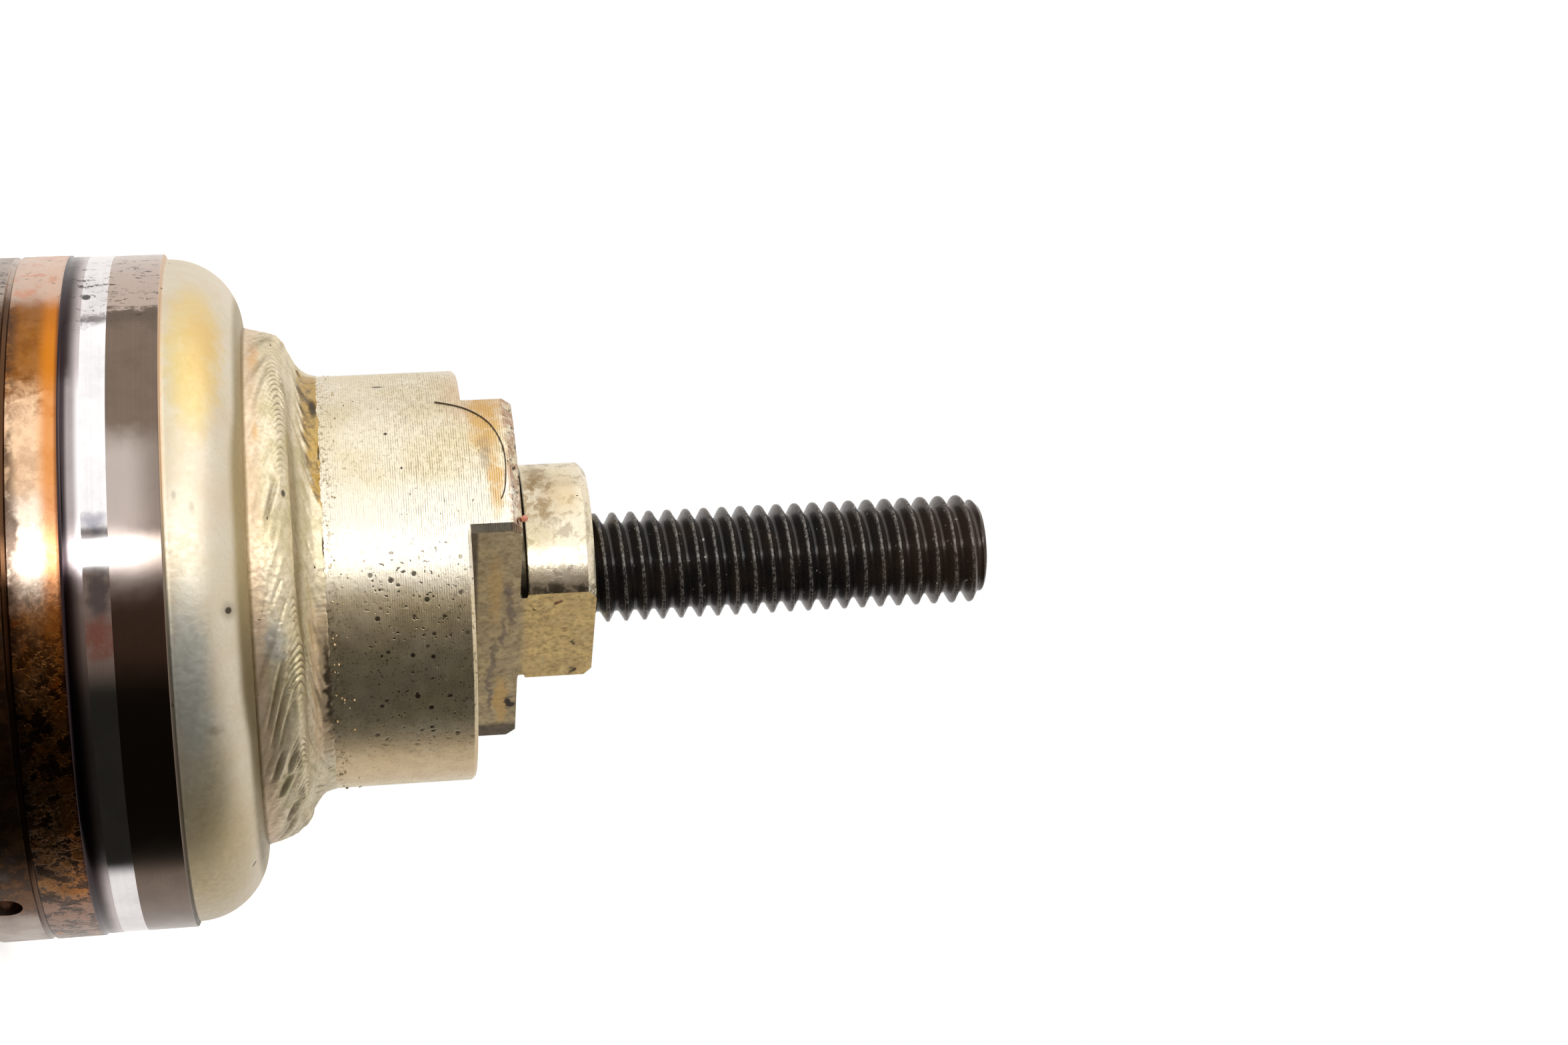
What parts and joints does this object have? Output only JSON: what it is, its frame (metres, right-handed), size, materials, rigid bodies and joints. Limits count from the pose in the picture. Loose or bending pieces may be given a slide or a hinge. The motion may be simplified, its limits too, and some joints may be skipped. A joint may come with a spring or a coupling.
{
  "type": "turned plunger end with threaded stud",
  "caption": "Turned steel barrel end with a plated shoulder, a welded drive boss with two flats, and a threaded stud.",
  "frame": {"origin": "centre of the plain end of the barrel, on which the part stands", "axes": "+Z along the turning axis, from the plain end to the tip of the stud; the milled flats face +X and -X"},
  "size_m": [0.0356, 0.0356, 0.0534],
  "materials": {
    "bare_steel": "ground journal with a polished track, a rusted band between two grooves and a plated shoulder",
    "plated_steel": "fine turned lines under yellowish zinc plating, with small dark pits",
    "plated_weld": "rippled weld bead under yellowish zinc plating, browned at its edges",
    "black_oxide": "black oxide, lightly oiled, worn on the crests"
  },
  "bodies": {
    "root": {"barrel": "bare_steel", "drive_boss": "plated_steel", "weld_bead": "plated_weld", "threaded_stud": "black_oxide"}
  },
  "joints": []
}
